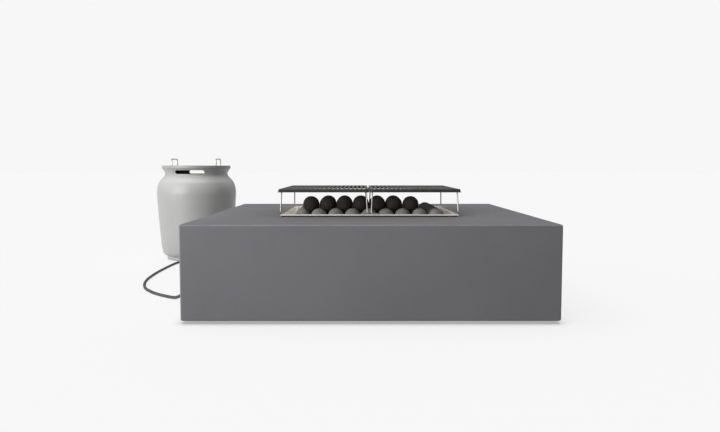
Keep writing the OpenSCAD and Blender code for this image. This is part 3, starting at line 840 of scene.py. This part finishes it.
# Pairs are half sizes or distances from the middle, and a single hole's size is its radius.
OPENING = (318 * MM, 261 * MM)
SLAB = 30 * MM
SIDE = 25 * MM
CAST_EDGE = 6 * MM
PANEL_MIDDLE = middle("control_panel")
KNOB = middle("control_knob")
INLET = middle("inlet_fitting")
IGNITER = middle("igniter_button")
PANEL_HOLE = (35 * MM, 80 * MM)
SCREW_SPREAD = (90 * MM, 40 * MM)
ROUND_HOLE, KNOB_HOLE, SCREW_HOLE = 11 * MM, 5.4 * MM, 2.5 * MM
BALL = 31 * MM
BALL_CUTS = 13
BALL_ROOM = 0.15 * MM
# A ball's dents: about how many to the metre, and how deep in millimetres.
BALL_DENTS = ((38, 0.35), (130, 0.12))
# How pale the lower balls in painted shade stay.
SHADED_PALENESS = 0.1


def on_wall(y, z, x=WALL):
    """A place on the left wall, for pieces made lying flat: their z axis points out of the wall."""
    return Matrix.Translation((x, y, z)) @ Matrix.Rotation(math.radians(-90), 4, "Y")


def corners_of(a, b):
    return [(x, y) for x in (-a, a) for y in (-b, b)]


def screw_places():
    return [(PANEL_MIDDLE.y + y, PANEL_MIDDLE.z + z) for y, z in corners_of(*SCREW_SPREAD)]


def disc(radius, steps=8):
    return outline_of(radius, radius, radius, steps)


def cut_wall(piece, span, holes):
    """Cuts holes (outline, y, z) and the screws' holes through a piece on the left wall."""
    holes = holes + [(disc(SCREW_HOLE, 4), y, z) for y, z in screw_places()]
    return cut(piece, [prism("cutter", outline, *span, on_wall(y, z)) for outline, y, z in holes])


def add_casing():
    """The cast body, open underneath, with its top's opening and the holes in its left wall."""
    half, inner, low = PIT_HALF, PIT_HALF - SIDE, pit_low.z
    a, b = OPENING
    section = [
        (half, half, CAST_EDGE, low, CAST_EDGE), (half, half, CAST_EDGE, PIT_TOP, CAST_EDGE),
        (a, b, 2 * MM, PIT_TOP, 2 * MM), (a, b, 2 * MM, PIT_TOP - SLAB, 1 * MM),
        (inner, inner, 3 * MM, PIT_TOP - SLAB, 4 * MM), (inner, inner, 3 * MM, low, 2 * MM),
    ]
    casing = loft("concrete_casing", [section], PIT, steps=5, corner_steps=5)
    cut_wall(casing, (-2 * SIDE, 10 * MM), [
        (rectangle(*PANEL_HOLE), PANEL_MIDDLE.y, PANEL_MIDDLE.z),
        (disc(ROUND_HOLE), INLET.y, INLET.z)])
    return set_up(casing, "fire_pit", CONCRETE, "concrete_shell")


def add_pan():
    """Folded pan with a hemmed flange, and the ledge that carries the perforated plate."""
    low, high, a, b = box_halves("burner_pan")
    reach, fold, sheet, hem = 15 * MM, 3 * MM, 2 * MM, 4 * MM
    ai, bi = a - reach, b - reach
    ao, bo = ai + sheet, bi + sheet
    stem, edge = 10.5 * MM, 1.8 * MM
    walls = [
        (stem, stem, stem, low.z, 0), (ao, bo, fold, low.z, fold),
        (ao, bo, fold, high.z - hem, 1 * MM), (a, b, 2 * MM, high.z - hem, edge),
        (a, b, 2 * MM, high.z, edge), (ai, bi, fold, high.z, fold),
        (ai, bi, fold, low.z + sheet, fold), (stem, stem, stem, low.z + sheet, 0),
    ]
    ledge_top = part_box("burner_plate")[0].z
    ledge_low, lip = ledge_top - 3 * MM, 12 * MM
    al, bl = ai + MM / 2, bi + MM / 2
    ledge = [
        (al, bl, fold, ledge_low, 0), (al, bl, fold, ledge_top, 0),
        (ai - lip, bi - lip, MM, ledge_top, MM / 2), (ai - lip, bi - lip, MM, ledge_low, MM / 2),
    ]
    pan = loft("burner_pan_sheet", [walls, ledge], PIT, steps=4)
    return set_up(pan, "fire_pit", SHEET_STEEL, "burner_pan")


def add_gasket():
    low, high, a, b = box_halves("rim_gasket")
    width, edge = 4 * MM, 0.6 * MM
    section = [(a, b, 3 * MM, low.z, edge), (a, b, 3 * MM, high.z, edge),
               (a - width, b - width, MM, high.z, edge), (a - width, b - width, MM, low.z, edge)]
    strip = loft("gasket_strip", [section], PIT)
    set_up(strip, "fire_pit", FOOT_RUBBER, "rim_gasket")


def ball_mesh(radius, cuts):
    """Points and faces of one ball, from a cube's grid pushed out to a sphere."""
    made = bmesh.new()
    bmesh.ops.create_cube(made, size=2)
    bmesh.ops.subdivide_edges(made, edges=made.edges[:], cuts=cuts, use_grid_fill=True)
    for vert in made.verts:
        x, y, z = (math.tan(c * math.pi / 4) for c in vert.co)
        vert.co = Vector((x, y, z)).normalized() * radius
    made.verts.index_update()
    points = [vert.co.copy() for vert in made.verts]
    faces = [[vert.index for vert in face.verts] for face in made.faces]
    made.free()
    return points, faces


def add_balls(name, node, counts, without, finish, pale_front):
    """A layer of balls, each a little uneven in its own way, with some places left out.

    With pale_front, only the front row and the ball behind its left end keep their pale colour, and
    the rest are painted in shade.
    """
    low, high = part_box(node)
    step = [(high[k] - low[k] - 2 * BALL) / (counts[k] - 1) for k in (0, 1)]
    points, faces = ball_mesh(BALL - BALL_ROOM, BALL_CUTS)
    all_points, all_faces, paleness = [], [], []
    for i in range(counts[0]):
        for j in range(counts[1]):
            if (i, j) in without:
                continue
            centre = Vector((low.x + BALL + i * step[0], low.y + BALL + j * step[1], low.z + BALL))
            first = len(all_points)
            for p in points:
                dent = sum(noise.noise((centre + p) * fine) * deep for fine, deep in BALL_DENTS)
                all_points.append(centre + p * (1 + dent * MM / BALL))
            all_faces += [[first + k for k in face] for face in faces]
            pale = not pale_front or j == 0 or (i, j) == (0, 1)
            paleness += [1.0 if pale else SHADED_PALENESS] * len(points)
    mesh = bpy.data.meshes.new(name)
    mesh.from_pydata(all_points, [], all_faces)
    mesh.attributes.new("paleness", "FLOAT", "POINT").data.foreach_set("value", paleness)
    shade(mesh, 180)
    set_up(new_object(name, mesh), "fire_pit", finish, node)


casing = add_casing()
only_shaded_by(lights["floor_light"], casing)
pan = add_pan()
for light_name, row in PAN_FILLS.items():
    fill = add_sun(light_name, *row)
    link_light(fill, "INCLUDE", pan)
    only_shaded_by(fill, casing)
add_gasket()
add_balls("lower_ball_layer", "fire_balls_lower", (9, 8), [(0, 0)], LOWER_CERAMIC, True)
add_balls("upper_ball_layer", "fire_balls_upper", (7, 2), [(0, 1), (6, 1)], UPPER_CERAMIC, False)


# ---------- Grates ----------

LIP_OUT = 2.8 * MM
SHEET = 3 * MM
SLOT_PITCH, SLOT_ROW_PITCH = 16.6 * MM, 162 * MM
SLOT_COLUMNS, SLOT_ROWS = 19, 3
SLOT_LENGTH, SLOT_WIDTH = 148 * MM, 8 * MM
WIRE = 2.5 * MM
# How far each leg is from the pit's middle, at its top and at its foot.
OUTER_LEG = (323.5 * MM, 326.5 * MM)
INNER_LEG = (11.7 * MM, 7 * MM)
LEG_TOP_Y, LEG_FOOT_Y = 250 * MM, 268.5 * MM
OUTER_BEND, INNER_BEND = 9 * MM, 8 * MM
FOOT_LENGTH = 24 * MM


def add_loop(made, points):
    """Joins points in a loop, and returns the loop's points and edges."""
    verts = [made.verts.new(p) for p in points]
    edges = [made.edges.new((verts[i - 1], verts[i])) for i in range(len(verts))]
    return verts, edges


def add_grate_sheet(side):
    """Pressed sheet: slotted top, turned-down edge and a small flared lip."""
    node = f"grate_{side}_plate"
    low, high, half_x, half_y = box_halves(node)
    centre = (low + high) / 2
    a, b = half_x - LIP_OUT, half_y - LIP_OUT
    turn, flare = 3 * MM, 1.2 * MM
    lip_z = low.z + SHEET
    corners = [(a - turn, b - turn, turn, high.z, 0), (a, b, 2 * turn, high.z, turn),
               (a, b, 2 * turn, lip_z, flare),
               (a + LIP_OUT, b + LIP_OUT, 2 * turn + LIP_OUT, lip_z, 0)]
    rows = rounded(corners, closed=False)[1:]
    made, steps = bmesh.new(), 5
    top_a, top_b, top_r, top_z, _ = rows[0]
    top = outline_of(top_a, top_b, top_r, steps)
    loop, edges = add_loop(made, [(centre.x + x, centre.y + y, top_z) for x, y in top])
    for i in range(SLOT_COLUMNS):
        for j in range(SLOT_ROWS):
            at_x = centre.x + (i - (SLOT_COLUMNS - 1) / 2) * SLOT_PITCH
            at_y = centre.y + (j - (SLOT_ROWS - 1) / 2) * SLOT_ROW_PITCH
            slot = outline_of(SLOT_WIDTH / 2, SLOT_LENGTH / 2, SLOT_WIDTH / 2, 4)
            edges += add_loop(made, [(at_x + x, at_y + y, top_z) for x, y in slot])[1]
    bmesh.ops.triangle_fill(made, use_beauty=True, edges=edges, normal=UP)
    for a, b, r, z, _ in rows[1:]:
        outline = outline_of(a, b, r, steps)
        after = [made.verts.new((centre.x + x, centre.y + y, z)) for x, y in outline]
        add_skin(made, [loop, after])
        loop = after
    sheet = from_bmesh(f"{side}_grate_sheet", made, 50)
    # An open sheet has no outside, so its top is turned up here if it isn't already.
    if max(p.normal.z for p in sheet.data.polygons) < 0.5:
        sheet.data.flip_normals()
    thick = sheet.modifiers.new("thickness", "SOLIDIFY")
    thick.thickness = SHEET
    thick.offset = -1
    thick.use_even_offset = True
    applied(sheet)
    shade(sheet.data, 35)
    add_bevel(sheet, 0.5 * MM)
    set_up(sheet, f"{side}_grate", ENAMEL, node)


def add_legs(side):
    """Bent wire frames: a closed one at the outer edge, and an open one with feet at the inner."""
    out = 1 if side == "right" else -1
    low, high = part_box(f"grate_{side}_outer_leg")
    foot_z, top_z = low.z + WIRE, high.z - WIRE

    def at(x, y, z):
        return PIT + Vector((out * x, y, z))

    top_x, foot_x = OUTER_LEG
    closed = [at(top_x, -LEG_TOP_Y, top_z), at(top_x, LEG_TOP_Y, top_z),
              at(foot_x, LEG_FOOT_Y, foot_z), at(foot_x, -LEG_FOOT_Y, foot_z)]
    outer = tube(f"{side}_outer_leg_wire", bend(closed, OUTER_BEND, closed=True), WIRE, closed=True)
    set_up(outer, f"{side}_grate", LEG_WIRE, f"grate_{side}_outer_leg")
    top_x, foot_x = INNER_LEG
    half = [at(top_x, LEG_TOP_Y, top_z), at(foot_x, LEG_FOOT_Y, foot_z),
            at(foot_x + FOOT_LENGTH, LEG_FOOT_Y, foot_z)]
    mirrored = [Vector((p.x, 2 * PIT.y - p.y, p.z)) for p in reversed(half)]
    inner = tube(f"{side}_inner_leg_wire", bend(mirrored + half, INNER_BEND), WIRE)
    set_up(inner, f"{side}_grate", LEG_WIRE, f"grate_{side}_inner_leg")


for grate_side in ("left", "right"):
    add_grate_sheet(grate_side)
    add_legs(grate_side)


# ---------- Bottle cover and lid ----------

# The cover's outline is its radius at each height, in millimetres.
COVER_SHEET = 3 * MM
COVER_OUTLINE = [
    (163, 22), (177, 27), (185, 40), (191, 70), (195.5, 113), (203.5, 214), (210, 315),
    (211.7, 345), (212, 365), (210, 384), (206.5, 400), (200, 418), (192, 430), (181, 442),
    (171.5, 452), (167, 463), (168.5, 473), (173, 482), (178.5, 490), (183, 495),
]
GRIP_LENGTH, GRIP_HEIGHT, GRIP_Z = 154 * MM, 20 * MM, 475 * MM
NOTCH_X, NOTCH_HALF, NOTCH_TOP = -16 * MM, 22 * MM, 20 * MM
HANDLE_X, HANDLE_HALF, HANDLE_WIRE_RADIUS, HANDLE_BEND = 120 * MM, 57 * MM, 3 * MM, 7 * MM
# How far cutters reach: past the cover both ways, through its foot ring's front, and past the lid.
COVER_REACH, NOTCH_FROM, NOTCH_REACH, LID_REACH = 0.3, -0.13, 0.06, 0.02


def cutter_from(at, outline, back, front):
    """A cutter whose outline is seen from the front, for a hole that runs along y at the cover."""
    place = Matrix.Translation(BOTTLE + Vector(at)) @ Matrix.Rotation(math.radians(90), 4, "X")
    return prism("cutter", outline, back, front, place)


def add_cover():
    """Spun jar-shaped cover with a grip slot through its neck at the front and the back."""
    curve = smooth_line([(r * MM, z * MM, 0) for r, z in COVER_OUTLINE], 4)
    outside = [(p.x, p.x, p.x, p.y, 0) for p in curve]
    inside = [(r - COVER_SHEET,) * 3 + (z, 0) for r, _, _, z, _ in reversed(outside)]
    cover = loft("cover_shell", [outside + inside], BOTTLE, steps=40, smooth_below=30)
    stadium = outline_of(GRIP_LENGTH / 2, GRIP_HEIGHT / 2, GRIP_HEIGHT / 2, 8)
    cut(cover, [cutter_from((0, 0, GRIP_Z), stadium, -COVER_REACH, COVER_REACH)], 30)
    return set_up(cover, "cover", COVER_PAINT, "cover_drum", "cover_shoulder", "cover_neck")


def add_foot_ring():
    """The recessed ring at the cover's foot, with the hose's notch."""
    low, high, outer, _ = box_halves("cover_foot_ring")
    inner, edge = outer - 6 * MM, 1.5 * MM
    section = around([(outer, low.z, edge), (outer, high.z, 0),
                      (inner, high.z, 0), (inner, low.z, edge)])
    ring_piece = loft("cover_base_ring", [section], BOTTLE, steps=32)
    notch = outline_of(NOTCH_HALF, NOTCH_TOP, 3 * MM, 3)
    cut(ring_piece, [cutter_from((NOTCH_X, NOTCH_FROM, 0), notch, 0, NOTCH_REACH)])
    set_up(ring_piece, "cover", COVER_PAINT, "cover_foot_ring")


def add_rim():
    """The rolled rim, with the ledge that the lid lies on."""
    low, high, outer, _ = box_halves("cover_rim")
    wall, bore, ledge = 179 * MM, 165 * MM, 499.7 * MM
    section = around([(outer, low.z, 1 * MM), (outer, high.z, 2 * MM), (wall, high.z, 1.5 * MM),
                      (wall, ledge, 0.8 * MM), (bore, ledge, 1 * MM), (bore, low.z, 1 * MM)])
    rim = loft("cover_rolled_rim", [section], BOTTLE, steps=40)
    set_up(rim, "cover", COVER_PAINT, "cover_rim")


def add_lid():
    """The pressed lid with its skirt, and the two wire handles through it."""
    low, high, outer, _ = box_halves("cover_lid")
    base = 500 * MM
    skirt_out, skirt_in = 163 * MM, 160 * MM
    section = around([
        (0, high.z, 0), (outer, high.z, 1.3 * MM), (outer, base, 1.1 * MM),
        (skirt_out, base, 0.6 * MM), (skirt_out, low.z, 1 * MM),
        (skirt_in, low.z, 1 * MM), (skirt_in, base, 2 * MM), (0, base, 0),
    ])
    lid = loft("lid_sheet", [section], BOTTLE, steps=40, closed=False)
    hole = disc(HANDLE_WIRE_RADIUS + 0.2 * MM, 4)
    places = [BOTTLE + Vector((x, y, base)) for x, y in corners_of(HANDLE_X, HANDLE_HALF)]
    cut(lid, [prism("cutter", hole, -LID_REACH, LID_REACH, Matrix.Translation(at))
              for at in places])
    set_up(lid, "lid", COVER_PAINT, "cover_lid")
    low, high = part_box("lid_handles")
    bottom, top = low.z, high.z - HANDLE_WIRE_RADIUS
    for name, x in (("left", BOTTLE.x - HANDLE_X), ("right", BOTTLE.x + HANDLE_X)):
        front, back = BOTTLE.y - HANDLE_HALF, BOTTLE.y + HANDLE_HALF
        points = [(x, front, bottom), (x, front, top), (x, back, top), (x, back, bottom)]
        wire = tube(f"{name}_lid_handle_wire", bend(points, HANDLE_BEND), HANDLE_WIRE_RADIUS)
        set_up(wire, "lid", HANDLE_WIRE, "lid_handles")


link_light(lights["cover_top"], "INCLUDE", add_cover())
add_foot_ring()
add_rim()
add_lid()


# ---------- Gas bottle ----------

def add_tank():
    """Welded bottle: two shallow domes and a straight side with its weld seam."""
    low, _, radius, _ = box_halves("bottle_body")
    wall, bore = 3 * MM, 12 * MM
    side_low, side_high, rise = 80 * MM, 290 * MM, 58 * MM
    drop, seam, steps = side_low - low.z, (side_low + side_high) / 2, 16
    bead_shape = ((0, -3 * MM), (0.5 * MM, -1 * MM), (0.5 * MM, MM), (0, 3 * MM))

    def half_section(inset):
        r, down, up = radius - inset, drop - inset, rise - inset
        turns = [math.pi / 2 * i / steps for i in range(steps + 1)]
        lower = [(r * math.sin(t), side_low - down * math.cos(t), 0) for t in turns]
        upper = [(r * math.cos(t), side_high + up * math.sin(t), 0) for t in turns]
        last = max(i for i, row in enumerate(upper) if row[0] > bore)
        edge = side_high + up * math.sqrt(1 - (bore / r) ** 2)
        bead = [(r + x, seam + z, 0) for x, z in bead_shape] if inset == 0 else []
        return lower + bead + upper[:last + 1] + [(bore, edge, 0)]

    section = around(half_section(0) + half_section(wall)[::-1])
    tank = loft("bottle_tank", [section], BOTTLE, steps=24, closed=False)
    set_up(tank, "fire_pit", BOTTLE_PAINT, "bottle_body")


add_tank()


# ---------- Control panel ----------

TICK_COUNT, TICK_STEP, TICK_RADIUS = 7, 30, 31 * MM
POINTER_UP = 11 * MM


def add_panel():
    low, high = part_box("control_panel")
    a, b, thick = (high.z - low.z) / 2, (high.y - low.y) / 2, high.x - low.x
    section = [(0, 0, 0, 0, 0), (a, b, 6 * MM, 0, 0.3 * MM),
               (a, b, 6 * MM, thick, 0.8 * MM), (0, 0, 0, thick, 0)]
    panel = loft("control_panel_sheet", [section], (0, 0, 0), steps=6, closed=False)
    panel.data.transform(on_wall(PANEL_MIDDLE.y, PANEL_MIDDLE.z))
    cut_wall(panel, (-10 * MM, 10 * MM), [
        (disc(KNOB_HOLE), KNOB.y, KNOB.z), (disc(ROUND_HOLE), IGNITER.y, IGNITER.z)])
    set_up(panel, "fire_pit", PANEL_STEEL, "control_panel")


def add_screws():
    """Button-head screws with a four-sided socket."""
    thick, head, shank, length = 3 * MM, 5 * MM, 2.4 * MM, 20 * MM
    crown, crown_top, socket = 3.4 * MM, thick + 2.5 * MM, 1.6 * MM
    section = around([
        (0, crown_top, 0), (crown, crown_top, 0.6 * MM), (head, thick + 1.2 * MM, 0.6 * MM),
        (head, thick, 0.2 * MM), (shank, thick, 0), (shank, -length, 0.6 * MM), (0, -length, 0),
    ])
    parts = []
    for y, z in screw_places():
        screw = loft("screw", [section], (0, 0, 0), steps=6, closed=False)
        cut(screw, [prism("cutter", disc(socket, 1), thick + 1 * MM, 10 * MM)])
        screw.data.transform(on_wall(y, z))
        parts.append(screw)
    set_up(join("panel_screw_set", parts), "fire_pit", PANEL_STEEL, "panel_screws")


def add_marks():
    """Plain dial ticks on the panel, each third one larger, and a pointer line on the knob."""
    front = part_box("control_panel")[0].x
    parts = []
    for i in range(TICK_COUNT):
        turn = Matrix.Rotation(math.radians(TICK_STEP * i), 4, "Z")
        half_width, half_length = (0.5 * MM, 2.2 * MM) if i % 3 else (0.8 * MM, 3.2 * MM)
        outline = outline_of(half_length, half_width, 0.4 * MM, 2)
        place = on_wall(KNOB.y, KNOB.z, front) @ turn @ Matrix.Translation((TICK_RADIUS, 0, 0))
        parts.append(prism("tick", outline, -0.1 * MM, 0.2 * MM, place))
    set_up(join("dial_ticks", parts), "fire_pit", PLASTIC)
    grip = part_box("control_knob")[0].x
    line = prism("knob_pointer", outline_of(7 * MM, 0.9 * MM, 0.8 * MM, 3), -0.3 * MM, 0.25 * MM,
                 on_wall(KNOB.y, KNOB.z + POINTER_UP, grip))
    set_up(line, "knob_turner", GLAZED)


add_panel()
add_screws()
add_marks()


# ---------- CAD nodes that stay, with their materials and eased edges ----------

# Points nearer than this are one, and faces that turn by fewer degrees than this are one.
WELD_BELOW = 0.005 * MM
FLAT_BELOW = 0.4


def keep(node, finish, ease):
    """A CAD node in its own shape, with a material, and with its sharp edges eased."""
    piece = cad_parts[node]
    stored = piece.data.attributes.get("custom_normal")
    if stored:
        piece.data.attributes.remove(stored)
    piece.data.materials.clear()
    piece.data.materials.append(finish.material)
    piece.data.polygons.foreach_set("material_index", [0] * len(piece.data.polygons))
    piece.data.polygons.foreach_set("use_smooth", [True] * len(piece.data.polygons))
    weld = piece.modifiers.new("weld", "WELD")
    weld.merge_threshold = WELD_BELOW
    flat = piece.modifiers.new("flat", "DECIMATE")
    flat.decimate_type = "DISSOLVE"
    flat.angle_limit = math.radians(FLAT_BELOW)
    add_bevel(piece, ease, 35)


# Finish, how far edges are eased, and nodes.
KEPT = [
    (DARK_STEEL, 0.5 * MM, ["base_frame", "heat_shield"]),
    (FOOT_RUBBER, 0.8 * MM, ["levelling_feet"]),
    (SHEET_STEEL, 0.3 * MM, ["burner_plate", "burner_tube", "shield_spacers"]),
    (BRASS, 0.4 * MM, [
        "air_mixer", "burner_pipe", "supply_pipe", "valve_body", "inlet_fitting", "inlet_nut",
        "bottle_valve", "regulator_nut", "knob_sleeve", "thermocouple"]),
    (PANEL_STEEL, 0.3 * MM, ["knob_spindle", "igniter_button"]),
    (HANDLE_WIRE, 0.3 * MM, ["lid_handle_nuts"]),
    (PLASTIC, 0.8 * MM, ["control_knob", "igniter_module", "valve_handwheel"]),
    (GLAZED, 0.2 * MM, ["spark_electrode"]),
    (ENAMEL, 0.5 * MM, ["grate_left_clips", "grate_right_clips"]),
    (BOTTLE_PAINT, 0.7 * MM, ["bottle_foot_ring", "bottle_collar"]),
    (CASTING, 0.8 * MM, ["regulator"]),
]
for finish, ease, nodes in KEPT:
    for node in nodes:
        keep(node, finish, ease)
